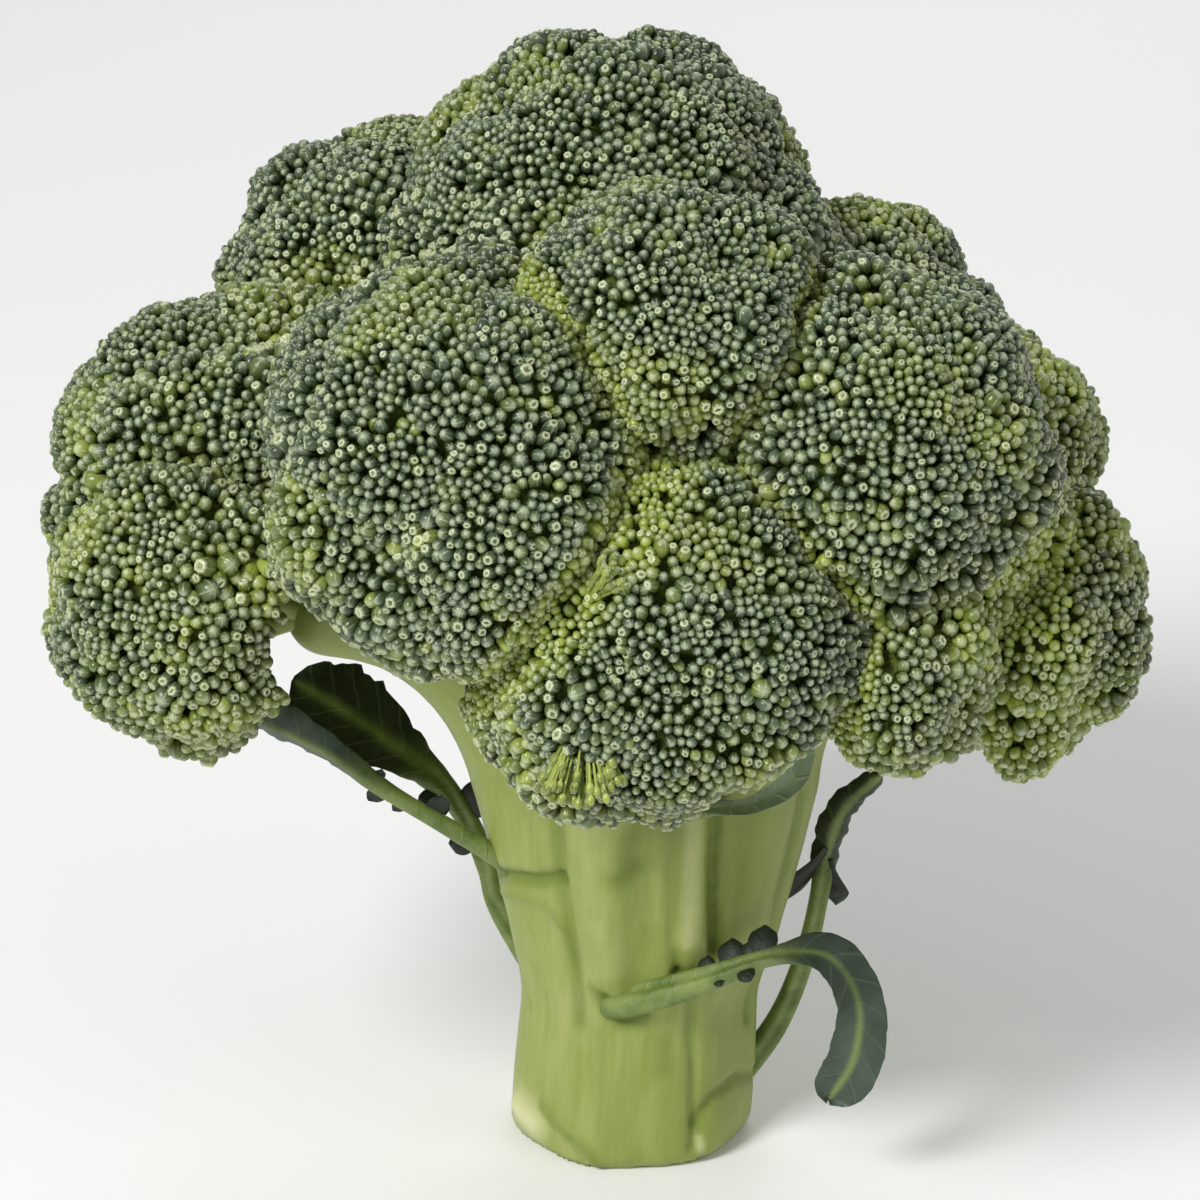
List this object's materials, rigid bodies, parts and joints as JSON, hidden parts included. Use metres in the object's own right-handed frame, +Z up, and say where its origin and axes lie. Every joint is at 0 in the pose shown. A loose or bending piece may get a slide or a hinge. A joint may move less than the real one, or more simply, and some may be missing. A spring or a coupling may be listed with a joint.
{
  "type": "broccoli head",
  "caption": "Whole head of fresh broccoli on its cut stalk, with forking branches, domed heads of tight flower buds and small leaves left on the stalk.",
  "frame": {"origin": "centre of the flat cut at the foot of the stalk", "axes": "+Z up along the stalk towards the crown; -Y is the front, +X to the right of the front view"},
  "size_m": [0.1596, 0.143, 0.1694],
  "materials": {
    "stalk": "satin pale yellow-green skin with fine lengthwise streaks",
    "buds": "matt bluish green closed flower buds with pale waxy tips",
    "leaf": "waxy bluish green, satin, with pale veins"
  },
  "bodies": {
    "root": {"stalk": "stalk", "floret_top": "buds", "floret_upper_left": "buds", "floret_upper_right": "buds", "floret_crown_front": "buds", "floret_left": "buds", "floret_left_low": "buds", "floret_front_left": "buds", "floret_front_right": "buds", "floret_right": "buds", "floret_right_inner": "buds", "floret_right_low": "buds", "floret_front": "buds", "floret_front_small": "buds", "floret_back": "buds", "floret_back_right": "buds", "floret_back_left": "buds", "floret_back_low": "buds", "floret_back_right_low": "buds", "leaf_left": "leaf", "leaf_back_left": "leaf", "leaf_front_right": "leaf", "leaf_right": "leaf", "leaf_under_crown": "leaf", "leaf_back": "leaf"}
  },
  "joints": []
}
